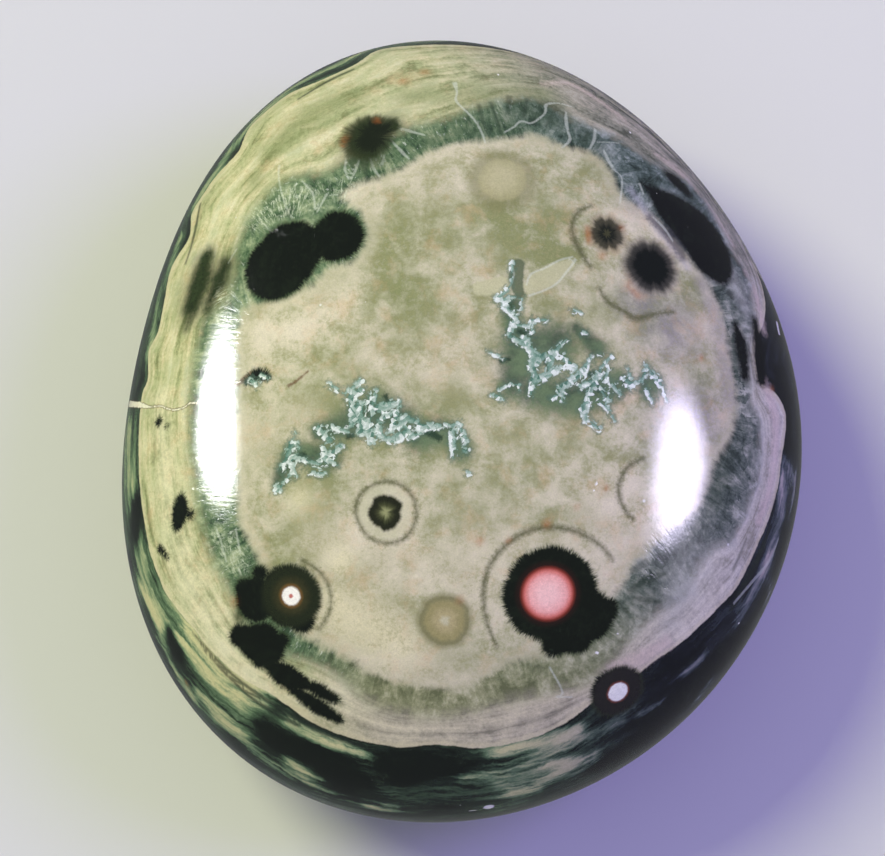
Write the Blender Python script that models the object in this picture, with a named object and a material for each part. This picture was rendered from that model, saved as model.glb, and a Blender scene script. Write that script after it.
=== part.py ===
"""Ocean jasper palm stone: one polished pebble, lying on its ground flat.

The stone is a rounded pebble with an egg-like outline seen from above, a domed
top face, a shallower underside and a small flat where it rests.
Units are metres, +Z is up, and +Y runs along the stone's length.
"""

import math

import bmesh
import bpy

MM = 0.001

# Outline of the widest section, as the distance from its middle to the edge at every
# 30 degrees, anticlockwise from +X. The broad end is towards -Y, and a flatter
# shoulder runs down the +X, +Y side.
OUTLINE = [r * MM for r in (27.6, 27.6, 29.6, 32.4, 31.8, 28.4, 27.8, 30.4, 32.6, 32.0, 30.2, 28.6)]

# Heights of the dome and of the underside, measured from the widest section. The
# fullness is the power of the section's curve: 2 is an ellipse, more is boxier.
DOME_HEIGHT = 18.0 * MM
DOME_FULLNESS = 2.2
UNDERSIDE_DEPTH = 14.0 * MM
UNDERSIDE_FULLNESS = 2.3

# The underside is ground flat this far in from its lowest point.
REST_FLAT_CUT = 0.5 * MM

# Facets along one side of the cube that the pebble is blown up from.
GRID = 20

# Polished jasper seen from a step away: grey olive, glossy and not metallic.
STONE_COLOUR = (0.33, 0.31, 0.20, 1.0)
STONE_ROUGHNESS = 0.12


def remove_everything():
    for thing in list(bpy.data.objects):
        bpy.data.objects.remove(thing)


def outline_radius(azimuth):
    """Radius of the widest section at an azimuth, on the smooth closed curve through OUTLINE."""
    count = len(OUTLINE)
    total = 0.0
    for index, radius in enumerate(OUTLINE):
        turn = azimuth - index * math.tau / count
        half = math.sin(turn / 2)
        if abs(half) < 1e-9:
            return radius
        total += radius * math.sin(count * turn / 2) * math.cos(turn / 2) / (count * half)
    return total


def pebble_point(direction):
    """The point of the stone's surface that lies in a direction from the middle of its widest section."""
    direction = direction.normalized()
    upper = direction.z >= 0
    fullness = DOME_FULLNESS if upper else UNDERSIDE_FULLNESS
    height = DOME_HEIGHT if upper else UNDERSIDE_DEPTH
    across = math.hypot(direction.x, direction.y)
    reach = (across**fullness + abs(direction.z) ** fullness) ** (-1 / fullness)
    azimuth = math.atan2(direction.y, direction.x)
    radius = outline_radius(azimuth) * across * reach
    return (
        radius * math.cos(azimuth),
        radius * math.sin(azimuth),
        direction.z * reach * height,
    )


def evenly_spread(coordinate):
    """Moves a grid line of the cube so that its facets come out alike in size on the ball."""
    return math.tan(coordinate * math.pi / 4)


def blow_up_pebble(mesh):
    """A gridded cube, blown up to the pebble's surface."""
    bmesh.ops.create_cube(mesh, size=2.0)
    bmesh.ops.subdivide_edges(mesh, edges=mesh.edges[:], cuts=GRID - 1, use_grid_fill=True)
    for vertex in mesh.verts:
        vertex.co = [evenly_spread(c) for c in vertex.co]
        vertex.co = pebble_point(vertex.co)


def grind_rest_flat(mesh):
    """Cuts the lowest part of the underside away at one level, and closes the cut with one flat face."""
    level = -(UNDERSIDE_DEPTH - REST_FLAT_CUT)
    bmesh.ops.bisect_plane(
        mesh,
        geom=mesh.verts[:] + mesh.edges[:] + mesh.faces[:],
        dist=1e-6,
        plane_co=(0, 0, level),
        plane_no=(0, 0, -1),
        clear_outer=True,
    )
    rim = [edge for edge in mesh.edges if edge.is_boundary]
    bmesh.ops.contextual_create(mesh, geom=rim)
    bmesh.ops.recalc_face_normals(mesh, faces=mesh.faces[:])


def stand_on_origin(mesh):
    """Puts the middle of the stone's box over the origin, and its flat at height zero."""
    xs, ys, zs = zip(*(vertex.co for vertex in mesh.verts))
    shift = (-(min(xs) + max(xs)) / 2, -(min(ys) + max(ys)) / 2, -min(zs))
    bmesh.ops.translate(mesh, vec=shift, verts=mesh.verts[:])


def polished_jasper():
    material = bpy.data.materials.new("polished_jasper")
    material.use_nodes = True
    shader = material.node_tree.nodes["Principled BSDF"]
    shader.inputs["Base Color"].default_value = STONE_COLOUR
    shader.inputs["Roughness"].default_value = STONE_ROUGHNESS
    shader.inputs["Metallic"].default_value = 0.0
    return material


def make_stone(collection):
    mesh = bmesh.new()
    blow_up_pebble(mesh)
    grind_rest_flat(mesh)
    stand_on_origin(mesh)
    data = bpy.data.meshes.new("palm_stone")
    mesh.to_mesh(data)
    mesh.free()
    data.shade_smooth()
    data.set_sharp_from_angle(angle=math.radians(30))
    data.materials.append(polished_jasper())
    collection.objects.link(bpy.data.objects.new("palm_stone", data))


def main():
    remove_everything()
    collection = bpy.data.collections.new("ocean_jasper_palm_stone")
    bpy.context.scene.collection.children.link(collection)
    make_stone(collection)


main()
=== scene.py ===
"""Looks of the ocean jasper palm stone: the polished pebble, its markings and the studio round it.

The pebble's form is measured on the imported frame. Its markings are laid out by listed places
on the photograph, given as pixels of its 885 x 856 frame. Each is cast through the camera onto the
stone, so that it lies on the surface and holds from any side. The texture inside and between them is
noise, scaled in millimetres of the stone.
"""

import math

import bpy
import numpy as np
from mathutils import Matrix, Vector
from mathutils.bvhtree import BVHTree


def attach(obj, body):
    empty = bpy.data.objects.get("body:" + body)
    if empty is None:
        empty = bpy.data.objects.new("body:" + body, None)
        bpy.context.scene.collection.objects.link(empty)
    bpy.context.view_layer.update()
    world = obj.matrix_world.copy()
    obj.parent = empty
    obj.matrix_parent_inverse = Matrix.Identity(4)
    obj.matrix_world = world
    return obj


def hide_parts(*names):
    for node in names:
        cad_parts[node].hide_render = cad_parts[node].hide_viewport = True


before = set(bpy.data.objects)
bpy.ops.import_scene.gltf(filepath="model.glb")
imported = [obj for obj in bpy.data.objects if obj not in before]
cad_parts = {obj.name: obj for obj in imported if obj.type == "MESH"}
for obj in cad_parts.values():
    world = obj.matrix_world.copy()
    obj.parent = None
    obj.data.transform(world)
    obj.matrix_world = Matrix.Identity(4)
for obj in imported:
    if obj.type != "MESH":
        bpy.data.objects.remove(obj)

bl_info = {
    "name": "Ocean jasper palm stone",
    "version": (1, 0, 0),
    "blender": (4, 5, 0),
    "location": "3D View > Sidebar > Palm stone",
    "description": "Shapes, marks and polishes the palm stone, and sets the studio round it",
    "category": "Object",
}

MM = 0.001

# The photograph's frame in pixels, and the width in mm of the camera's sensor.
PHOTO_WIDTH = 885
PHOTO_HEIGHT = 856
SENSOR_WIDTH = 36.0

# The cream field on the top of the stone, clockwise from its left shoulder.
PLATEAU_EDGE = [
    (340, 196), (355, 183), (393, 172), (419, 158), (457, 143), (500, 139), (534, 135), (561, 145),
    (588, 152), (612, 172), (622, 196), (649, 213), (668, 234), (690, 258), (708, 282), (719, 304),
    (727, 338), (732, 370), (735, 410), (732, 438), (716, 464), (708, 486), (694, 512), (668, 531),
    (650, 546), (633, 562), (622, 586), (600, 612), (575, 640), (539, 656), (507, 665), (478, 680),
    (450, 690), (418, 686), (372, 675), (345, 658), (318, 645), (290, 628), (268, 590), (254, 552),
    (243, 534), (238, 512), (238, 484), (235, 450), (236, 420), (237, 393), (237, 365), (238, 339),
    (245, 312), (262, 303), (285, 297), (314, 283), (330, 268), (355, 258), (366, 238), (362, 214),
    (348, 203),
]

# The outer edge of the green moat that runs round the cream field.
MOAT_EDGE = [
    (254, 209), (279, 183), (304, 173), (325, 170), (345, 158), (393, 131), (431, 121), (482, 104),
    (520, 97), (550, 103), (571, 118), (593, 127), (622, 140), (641, 154), (668, 172), (700, 195),
    (730, 247), (747, 275), (755, 317), (752, 340), (750, 362), (752, 382), (753, 400), (761, 421),
    (762, 464), (756, 491), (746, 518), (730, 544), (708, 557), (681, 600), (654, 616), (628, 643),
    (614, 662), (588, 684), (560, 692), (507, 703), (454, 715), (418, 715), (384, 708), (361, 696),
    (340, 680), (315, 667), (280, 655), (250, 630), (234, 606), (220, 575), (207, 550), (198, 517),
    (193, 472), (189, 451), (188, 420), (189, 393), (195, 350), (201, 321), (225, 299), (232, 277),
    (236, 245),
]

# The scalloped outer edge of the cream bands, past which the stone is dark.
BANDS_EDGE = [
    (165, 298), (169, 275), (177, 257), (189, 237), (192, 214), (202, 196), (217, 175), (238, 152),
    (248, 130), (263, 114), (289, 94), (312, 84), (337, 73), (358, 63), (376, 51), (406, 46), (457, 45),
    (507, 51), (560, 66), (610, 95), (655, 132), (700, 180), (733, 225), (757, 272), (765, 300),
    (764, 320), (759, 336), (755, 354), (758, 374), (765, 386), (776, 394), (784, 408), (786, 424),
    (781, 464), (777, 491), (768, 520), (756, 549), (743, 576), (732, 594), (705, 621), (681, 643),
    (654, 662), (630, 680), (587, 707), (560, 726), (528, 739), (480, 748), (440, 745), (400, 747),
    (372, 743), (349, 737), (322, 728), (294, 710), (267, 692), (248, 682), (225, 664), (207, 646),
    (189, 623), (167, 595), (153, 561), (147, 539), (142, 506), (139, 477), (139, 450), (139, 428),
    (142, 395), (148, 379), (149, 350), (158, 332),
]

# From here on a marking is a chain of discs: each place with its radius, in pixels.

# Where the bands run on over the rim, out of the photograph's sight.
BAND_LOBES = [
    [(525, 56, 8), (560, 64, 16), (585, 78, 30), (612, 96, 22), (640, 114, 40), (668, 142, 26),
     (695, 172, 38), (722, 205, 24), (742, 238, 32), (757, 268, 14)],
]

# Black-green blots with fringed edges.
BLOTS = [
    [(289, 253, 33), (277, 267, 34)], [(337, 236, 26)], [(247, 381, 4), (257, 375, 7), (267, 377, 4)],
    [(551, 595, 45)], [(588, 617, 25)], [(575, 634, 20)], [(556, 642, 14)], [(608, 610, 11)],
    [(290, 597, 30)], [(300, 620, 13)], [(281, 640, 9)], [(256, 600, 21)], [(246, 590, 12)],
    [(259, 573, 8)], [(240, 636, 12), (261, 645, 24)], [(270, 667, 7), (286, 676, 13), (302, 683, 8)],
    [(304, 684, 4), (318, 690, 7), (336, 700, 5)],
    [(290, 688, 4), (305, 697, 7), (320, 708, 8), (338, 719, 5)],
    [(181, 498, 5), (180, 512, 11), (176, 527, 5)], [(190, 515, 5)], [(160, 549, 4), (166, 556, 4)],
    [(159, 421, 5)], [(167, 426, 3)], [(617, 691, 26)],
]

# Black quartz with clean edges on the upper right.
BLACK_LENSES = [
    [(643, 184, 2), (656, 195, 9), (672, 209, 20), (688, 223, 28), (703, 239, 32), (712, 256, 27),
     (718, 270, 15)],
    [(669, 175, 5), (678, 183, 10), (687, 192, 6)], [(736, 326, 4), (741, 346, 9), (745, 374, 6)],
    [(755, 322, 5), (759, 350, 9), (761, 378, 8)],
]

# Soft olive-brown smudges.
SMUDGES = [
    [(207, 256, 12), (200, 280, 24), (192, 306, 18), (187, 328, 6)],
    [(226, 264, 13), (218, 284, 14), (207, 310, 9)], [(238, 618, 6), (262, 575, 8)],
    [(354, 150, 14), (371, 154, 17)], [(392, 126, 14)],
]

SMUDGE_CORES = [
    [(206, 262, 6), (200, 281, 12), (192, 304, 10)], [(225, 266, 6), (218, 284, 8), (211, 298, 5)],
]

# Pale wisps along the black quartz.
WISPS = [[(632, 192, 3), (646, 212, 4), (660, 231, 4), (674, 249, 4), (686, 265, 3)]]

# Where the dark flank clears to green, and where it is darkest.
GREEN_FLANK = [
    [(127, 435, 24), (130, 485, 26)],
    [(142, 560, 18), (150, 590, 22), (170, 618, 24), (200, 655, 26), (228, 692, 28)],
    [(228, 692, 27), (252, 712, 22), (290, 728, 12), (340, 746, 7)],
    [(150, 350, 8), (162, 290, 10), (180, 240, 10)],
    [(196, 205, 10), (238, 140, 10), (285, 93, 10), (330, 68, 9), (380, 46, 8), (440, 41, 7)],
    [(490, 754, 8), (540, 744, 9), (577, 732, 8)], [(500, 785, 10), (560, 765, 16)], [(300, 772, 14)],
    [(784, 480, 14), (780, 520, 12), (765, 570, 12)],
]
DARK_FLANK = [
    [(136, 505, 10), (136, 530, 10)], [(130, 560, 9), (136, 600, 9)], [(170, 632, 7), (177, 652, 9)],
    [(264, 724, 15), (286, 743, 22), (318, 762, 20), (350, 780, 20)], [(400, 765, 22), (450, 765, 14)],
    [(600, 765, 12), (640, 738, 18), (700, 680, 16), (740, 640, 14)], [(788, 440, 12), (782, 380, 12)],
]

# Pale streaks on the dark flank.
PALE_STREAKS = [
    [(141, 588, 2), (149, 606, 7), (157, 624, 7), (161, 638, 3)],
    [(200, 694, 5), (221, 715, 11), (240, 734, 10), (254, 748, 5)],
    [(166, 652, 2), (178, 676, 5), (192, 696, 2)], [(187, 632, 1), (222, 670, 2), (262, 702, 2)],
    [(178, 632, 1), (205, 668, 3), (236, 698, 2)], [(206, 640, 1), (236, 672, 1.5), (268, 700, 1.5)],
    [(290, 722, 1), (320, 738, 1.5), (345, 750, 2), (368, 757, 1)],
    [(293, 762, 5), (306, 769, 7), (318, 775, 3)], [(252, 750, 2), (270, 764, 3), (290, 776, 1)],
    [(307, 782, 2), (320, 788, 3), (333, 793, 1)], [(787, 462, 2), (795, 484, 8), (790, 514, 5)],
    [(782, 482, 3), (783, 514, 3)], [(778, 540, 1.5), (766, 568, 5), (752, 596, 4), (738, 616, 2)],
    [(770, 584, 4), (767, 604, 4)],
    [(464, 776, 1.5), (500, 772, 3), (520, 766, 3), (560, 748, 3), (600, 730, 2), (622, 721, 1)],
    [(498, 757, 1.5), (520, 749, 2), (538, 745, 2)], [(558, 741, 2), (577, 730, 2.5)],
    [(552, 762, 4), (574, 762, 3.5)], [(640, 713, 1), (660, 705, 2)], [(514, 792, 4.5), (536, 789, 4)],
    [(540, 782, 3), (562, 773, 5), (592, 760, 4)], [(687, 671, 3), (698, 661, 3)],
    [(700, 695, 3), (711, 680, 4)], [(370, 806, 2), (393, 808, 2)],
]

# Pink and tan streaks in the bands.
PINK_STREAKS = [
    [(657, 155, 2), (680, 172, 4), (696, 190, 2)], [(700, 196, 2), (716, 216, 3), (732, 243, 2)],
    [(545, 84, 2), (571, 84, 4), (604, 104, 4), (624, 120, 2)],
    [(745, 272, 2), (754, 290, 5), (760, 312, 5), (764, 330, 3)],
    [(765, 386, 6), (774, 410, 8), (776, 440, 7), (772, 480, 6), (760, 520, 5)],
    [(601, 668, 6), (630, 664, 9), (664, 644, 7)],
]

# Dark streaks in the bands and beside them.
DARK_STREAKS = [
    [(194, 634, 1), (220, 663, 2), (240, 681, 2), (262, 697, 2.5), (290, 714, 3), (320, 731, 3),
     (360, 746, 2)],
    [(204, 650, 1), (230, 678, 2), (262, 706, 2), (296, 724, 2.5)],
    [(300, 98, 1.5), (330, 80, 2), (352, 70, 1.5)],
    [(610, 102, 1.5), (634, 120, 2), (660, 142, 2), (690, 172, 1.5)],
    [(770, 528, 2), (757, 560, 5), (742, 590, 5), (732, 608, 3)],
    [(200, 205, 1.5), (193, 240, 2), (186, 262, 1.5)],
]

# Rust stains.
RUST_STAINS = [
    [(772, 389, 3)], [(403, 81, 5)], [(344, 138, 4), (342, 146, 2)], [(377, 120, 3)],
    [(587, 228, 3), (589, 242, 3)], [(602, 256, 4)], [(622, 228, 3)], [(628, 284, 4), (638, 296, 4)],
    [(233, 602, 4)], [(701, 358, 3)], [(577, 507, 3)], [(606, 488, 3)], [(547, 523, 4)], [(508, 540, 3)],
    [(480, 541, 4)], [(187, 684, 3)], [(425, 72, 5)], [(460, 600, 4)],
]

# Small quartz crystals in the two clusters, each a rod or a lump.
CRYSTALS = [
    [(489, 352, 1), (501, 358, 1.5)], [(498, 299, 3), (505, 302, 3)], [(508, 296, 1.5), (521, 299, 1.5)],
    [(502, 305, 2), (515, 318, 1.5)], [(522, 300, 1), (520, 309, 1.5)],
    [(512, 263, 1.5), (511, 286, 1.5)], [(510, 286, 2), (501, 295, 2)], [(514, 323, 3), (509, 334, 2.5)],
    [(516, 325, 1.5), (530, 327, 1.5)], [(532, 320, 2), (545, 320, 2)], [(532, 322, 2), (532, 332, 1.5)],
    [(511, 337, 3), (524, 345, 2.5)], [(525, 340, 3), (533, 354, 4)], [(537, 361, 5), (543, 356, 4)],
    [(532, 364, 4), (535, 379, 3), (531, 393, 2)], [(534, 380, 4), (545, 376, 4), (561, 368, 3)],
    [(550, 366, 3), (554, 353, 3.5), (562, 344, 2), (566, 340, 1)], [(564, 358, 3), (573, 367, 3)],
    [(562, 388, 4), (570, 382, 3.5), (582, 373, 4), (591, 358, 1.5)], [(562, 390, 2), (562, 400, 1.5)],
    [(552, 398, 2), (558, 395, 2)], [(583, 386, 3), (594, 380, 2.5), (603, 366, 2), (611, 357, 2)],
    [(585, 409, 4), (588, 397, 3), (594, 385, 3), (600, 374, 2)],
    [(597, 385, 2), (604, 394, 2), (608, 400, 2)], [(600, 402, 2), (608, 409, 2), (614, 420, 1.5)],
    [(582, 410, 3), (585, 420, 2)], [(592, 424, 2.5), (598, 428, 2.5)], [(606, 379, 2), (608, 370, 1.5)],
    [(612, 385, 2), (620, 394, 2)], [(495, 394, 1), (508, 384, 1.5), (518, 385, 2), (519, 389, 1.5)],
    [(498, 396, 2.5)], [(492, 396, 1), (502, 400, 1.5)], [(624, 379, 2), (631, 385, 4), (638, 382, 2)],
    [(628, 370, 1.5), (630, 377, 2)], [(642, 381, 3), (647, 368, 2)], [(645, 364, 1.5), (654, 376, 2.5)],
    [(652, 374, 3), (660, 385, 2.5)], [(660, 378, 1.5), (666, 400, 1)], [(646, 390, 2), (652, 402, 1.5)],
    [(573, 311, 1.5), (580, 313, 1)], [(585, 333, 1.5)], [(600, 354, 1.2)], [(278, 489, 4)],
    [(281, 486, 2), (290, 475, 1.5)], [(281, 468, 2), (288, 455, 3), (291, 445, 4)],
    [(294, 434, 1), (295, 440, 1.5)], [(297, 443, 1.5), (298, 448, 2)],
    [(290, 458, 3), (292, 468, 2.5), (295, 476, 1.5)], [(294, 457, 2), (305, 461, 2.5), (320, 464, 2)],
    [(311, 473, 1.5), (323, 474, 2.5)], [(323, 447, 2), (326, 461, 2.5)], [(332, 453, 3), (340, 447, 3)],
    [(326, 460, 1.5), (337, 465, 2)], [(319, 429, 3.5), (329, 440, 3.5)], [(332, 427, 2), (347, 432, 2)],
    [(330, 385, 2), (343, 394, 1.5), (348, 398, 1.5)], [(350, 390, 2), (360, 382, 2.5)],
    [(353, 394, 4), (361, 391, 3)], [(351, 399, 4), (354, 416, 5), (351, 423, 3)],
    [(360, 406, 4), (360, 426, 3)], [(361, 432, 4)], [(368, 397, 2), (372, 406, 2.5), (371, 418, 2)],
    [(375, 391, 2), (374, 404, 2)], [(368, 423, 4), (371, 440, 4)], [(381, 408, 5), (393, 404, 4)],
    [(378, 420, 2), (390, 416, 2.5)], [(378, 425, 2.5), (381, 436, 3), (389, 440, 3)],
    [(400, 402, 1.5), (396, 416, 3), (393, 427, 2.5)], [(393, 429, 2.5), (404, 423, 3)],
    [(396, 439, 4), (406, 432, 4)], [(407, 419, 4), (417, 422, 3), (421, 427, 3)],
    [(421, 427, 3.5), (438, 426, 3)], [(410, 437, 2.5), (421, 433, 2)],
    [(445, 426, 1.5), (459, 424, 2), (462, 432, 2.5), (466, 441, 2)],
    [(451, 430, 2.5), (453, 441, 2.5), (453, 457, 1.5)], [(465, 451, 3)], [(469, 474, 2)],
    [(251, 381, 2.5), (256, 384, 2.5)], [(262, 376, 1.5), (267, 378, 1.5)],
]

# Hair-thin white threads of quartz, dark pleats between them, and white specks, three of which are painted
# glints.
THREADS = [
    [(455, 84, 2.4), (457, 93, 1), (456, 101, 1.4), (467, 112, 1), (476, 122, 1), (482, 133, 1),
     (485, 142, 0.8)],
    [(279, 167, 1.5), (279, 180, 0.8), (283, 198, 0.8), (287, 209, 1.2)],
    [(303, 182, 0.8), (313, 194, 1), (315, 209, 1.2)], [(327, 194, 1.2), (322, 203, 1), (317, 212, 0.8)],
    [(399, 128, 0.8), (410, 131, 1.6), (424, 135, 0.8)],
    [(391, 140, 0.8), (402, 152, 1.6), (408, 158, 0.8)],
    [(346, 160, 0.8), (345, 169, 1.4), (348, 178, 0.8)],
    [(359, 160, 0.8), (356, 169, 1.4), (352, 178, 0.8)],
    [(370, 158, 0.8), (374, 169, 1.4), (379, 176, 0.8)], [(384, 156, 0.8), (382, 164, 1.6)],
    [(236, 250, 1), (229, 262, 0.8)], [(246, 272, 0.8), (250, 284, 1), (248, 290, 0.6)],
    [(505, 132, 0.8), (514, 127, 1), (521, 121, 1.2), (532, 123, 1), (545, 113, 1), (546, 105, 1.6),
     (557, 103, 1), (573, 107, 0.8)],
    [(566, 112, 0.8), (566, 120, 1.8), (568, 132, 1.2), (570, 140, 1.6), (563, 147, 0.8)],
    [(595, 130, 1.4), (594, 140, 1.6), (590, 148, 1)], [(600, 142, 0.6), (618, 143, 0.6)],
    [(604, 151, 1), (608, 160, 2), (612, 166, 1.4)],
    [(614, 170, 0.6), (621, 176, 0.8), (622, 186, 1), (620, 202, 0.8)], [(640, 185, 1.2), (643, 193, 1)],
    [(654, 218, 1), (664, 228, 1.5), (672, 240, 1)],
    [(735, 602, 1.5), (752, 582, 2), (770, 560, 2), (778, 540, 1)],
    [(550, 668, 0.8), (562, 690, 1), (560, 697, 1)], [(558, 697, 1), (570, 697, 1)],
    [(216, 528, 1), (222, 545, 1), (226, 560, 1)], [(236, 530, 1), (240, 552, 1)],
    [(527, 283, 1), (531, 274, 1), (545, 268, 1), (560, 260, 1), (572, 257, 0.8)],
    [(510, 286, 1), (514, 276, 0.8), (512, 266, 1)],
    [(531, 295, 1), (545, 290, 1), (556, 284, 1), (565, 274, 1), (575, 261, 1)],
]
PLEATS = [
    [(479, 106, 2), (483, 122, 1.5), (489, 137, 1)], [(491, 104, 2), (497, 120, 1.5), (503, 137, 1)],
    [(509, 98, 3), (508, 112, 2)], [(527, 100, 2), (524, 116, 1.5)], [(551, 116, 1), (546, 126, 1)],
    [(466, 110, 1.5), (470, 124, 1)], [(588, 134, 2), (580, 142, 1.5)],
    [(632, 597, 1), (646, 600, 3), (660, 602, 1)], [(630, 590, 2), (646, 580, 4), (664, 574, 2)],
    [(634, 570, 3), (644, 564, 4)], [(746, 540, 1.5), (734, 568, 2)], [(352, 158, 5), (354, 171, 1.5)],
    [(364, 160, 5), (366, 176, 1.5)],
]
WHITE_SPECKS_AND_PAINTED_GLINTS = [
    [(498, 75, 2)], [(510, 70, 1)], [(630, 132, 2)], [(531, 242, 1.2)], [(466, 244, 1)], [(371, 779, 2)],
    [(220, 718, 2)], [(275, 640, 1)], [(305, 162, 0.8)], [(596, 483, 2)], [(594, 490, 1.4)],
    [(617, 634, 1.5)], [(597, 653, 2)], [(657, 194, 1.2)], [(687, 227, 1)], [(683, 577, 1.5)],
    [(739, 623, 1.2)], [(452, 802, 0.8)], [(460, 805, 0.8)], [(467, 804, 0.8)],
    # The dots at the right rim, (777, 323), (779, 333) and (788, 544), are painted glints: lamp reflections
    # painted white.
    [(468, 811, 0.8), (478, 810, 0.8)], [(777, 323, 3), (779, 333, 3)], [(788, 544, 2)],
    [(318, 743, 1.2)], [(205, 585, 1)], [(190, 565, 1)], [(420, 250, 0.8)], [(366, 302, 0.8)],
    [(404, 330, 0.8)], [(540, 455, 0.8)], [(300, 340, 0.8)],
]

# The crack that runs in from a chip on the left rim, and the brown dashes past its end.
CRACK = [
    [(129, 404, 3), (140, 405, 2.5), (150, 407, 0.7), (161, 406, 0.5), (172, 410, 0.6), (183, 408, 0.5),
     (190, 403, 0.7), (197, 403, 0.5), (203, 396, 0.9), (211, 395, 0.7), (215, 388, 0.9), (224, 388, 0.9),
     (230, 383, 1), (240, 382, 0.7)],
]
BROWN_DASHES = [
    [(214, 392, 0.8), (234, 386, 0.8), (246, 381, 1)],
    [(290, 385, 1.5), (298, 380, 1.2), (307, 372, 0.8)],
    [(238, 384, 1.5), (252, 373, 2.5), (264, 375, 1.5)],
]

# Thin olive growth lines that ring the eyes.
GROWTH_LINES = [
    [(612, 559, 1.7), (600, 545, 2), (580, 533, 2.5), (559, 528, 2.5), (540, 528, 2.5), (520, 535, 2.5),
     (503, 548, 2.5), (490, 565, 2.5), (484, 585, 2.5), (484, 606, 2), (488, 626, 1.7), (496, 645, 1.4)],
    [(590, 206, 1.7), (577, 213, 2.5), (572, 228, 2.5), (576, 243, 3.4), (583, 256, 2.5), (590, 266, 1.7)],
    [(600, 290, 1.7), (608, 302, 2.5), (622, 310, 2.5), (636, 318, 3.4), (655, 314, 2), (672, 312, 1.7)],
    [(642, 459, 1.7), (629, 466, 2.5), (620, 480, 2.5), (619, 495, 2.5), (624, 508, 2), (632, 518, 1.7)],
    [(386, 481, 1.7), (404, 487, 2), (415, 503, 2), (415, 522, 1.7), (405, 538, 2), (388, 543, 2),
     (370, 538, 1.7), (359, 522, 2), (356, 505, 2), (366, 489, 2), (386, 481, 1.7)],
    [(303, 561, 1.7), (320, 572, 1.7), (330, 590, 1.7), (330, 610, 1.7), (320, 628, 1.4)],
]

# Pale lozenges of clear quartz in the field, with the grey hollow between them.
LOZENGES = [[(531, 286, 6), (548, 276, 10), (568, 265, 5)], [(482, 288, 7), (500, 286, 9)]]
GREY_QUARTZ = [[(518, 266, 6), (516, 280, 7), (519, 292, 5)], [(513, 305, 6)]]
HOLLOWS = [
    [(521, 332, 3), (528, 333, 3)], [(545, 359, 2.5), (547, 368, 2)], [(503, 360, 3), (508, 359, 2)],
    [(591, 374, 3)], [(601, 390, 3)], [(372, 430, 2)], [(386, 397, 2.5), (392, 411, 2)], [(350, 436, 3)],
    [(430, 432, 4), (438, 437, 3)], [(302, 455, 3)],
]

# How each kind of streak is coloured: name, chains, colour, softness of its edge in mm, strength.
BAND_STREAKS = [
    ("pink_streaks", PINK_STREAKS, "DDCBBB", 0.5, 0.65),
    ("dark_streaks", DARK_STREAKS, "28302A", 0.16, 0.75),
]
FIELD_STREAKS = [
    ("smudge_cores", SMUDGE_CORES, "1F2718", 0.6, 1.0),
    ("wisps", WISPS, "B4B2BE", 0.5, 0.5),
    ("black_lenses", BLACK_LENSES, "131518", 0.4, 1.0),
    ("shadow_strip", [[(651, 219, 4), (668, 234, 7), (682, 254, 6)]], "3A3840", 0.4, 0.7),
    ("grey_quartz", GREY_QUARTZ, "5E6A50", 0.12, 0.9),
    ("lozenges", LOZENGES, "C3C19B", 0.12, 0.85),
    ("pleats", PLEATS, "2C3A2E", 0.16, 0.5),
    ("threads", THREADS, "DFE6D8", 0.07, 0.38),
    ("growth_lines", GROWTH_LINES, "5A5C3E", 0.3, 0.85),
    ("brown_dashes", BROWN_DASHES, "6B4A34", 0.12, 0.8),
]

PINK_EYE = (548, 594)
PETAL_EYE = (386, 512)
PETAL_ORB = (607, 234)
SOFT_ORB = (651, 267)
TOP_ORB_LEFT = (363, 137)
TOP_ORB_RIGHT = (374, 137)
WHITE_DOT_LEFT = (291, 596)
WHITE_DOT_RIGHT = (618, 692)
WHITE_DOT_LOW = (489, 807)
PALE_DISC_TOP = (503, 180)
PALE_DISC_LOW = (445, 620)

# Soft clouds of the cream field.
WHITE_TUFTS = [
    [(222, 300, 10), (216, 322, 16)], [(262, 215, 16), (300, 195, 24)], [(345, 190, 12)],
    [(222, 540, 16), (240, 565, 12)], [(200, 455, 12)],
]
OLIVE_CLOUDS = [
    [(345, 402, 30), (395, 398, 34), (455, 400, 36)], [(500, 350, 34)], [(560, 325, 34), (610, 355, 32)],
    [(410, 215, 35)], [(420, 300, 38)], [(400, 335, 30)], [(350, 370, 25)], [(500, 240, 40)],
    [(590, 310, 35)], [(602, 330, 34)], [(412, 330, 22)], [(440, 190, 30), (470, 230, 50)],
    [(390, 212, 12), (352, 262, 13), (322, 296, 10)], [(402, 268, 18), (372, 310, 14)], [(540, 210, 30)],
    [(460, 450, 30)], [(560, 420, 40)], [(480, 500, 40)], [(330, 400, 30)], [(520, 440, 40)],
]
PALE_CLOUDS = [
    [(455, 355, 30)], [(495, 590, 12), (503, 558, 12), (530, 540, 12), (575, 545, 12), (600, 568, 12)],
    [(350, 625, 30)], [(300, 420, 24)], [(265, 440, 25)], [(330, 300, 20)], [(480, 570, 50)],
    [(350, 610, 55)], [(330, 540, 35)], [(430, 655, 45)], [(600, 520, 40)], [(700, 330, 25)],
    [(390, 560, 40)],
]
BRIGHT_CLOUDS = [[(330, 600, 16), (355, 622, 30), (400, 645, 24)], [(300, 500, 16)], [(340, 560, 16)]]
# Mauve on the field's right: partly the stone's tint, partly painted violet light where the left lamp does
# not reach.
MAUVE_AND_PAINTED_LIGHT_CLOUDS = [
    [(636, 204, 14)], [(704, 282, 12), (716, 310, 14), (726, 350, 14), (730, 400, 12)], [(690, 420, 40)],
    [(670, 330, 35)], [(700, 480, 25)], [(640, 300, 25)],
]
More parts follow.
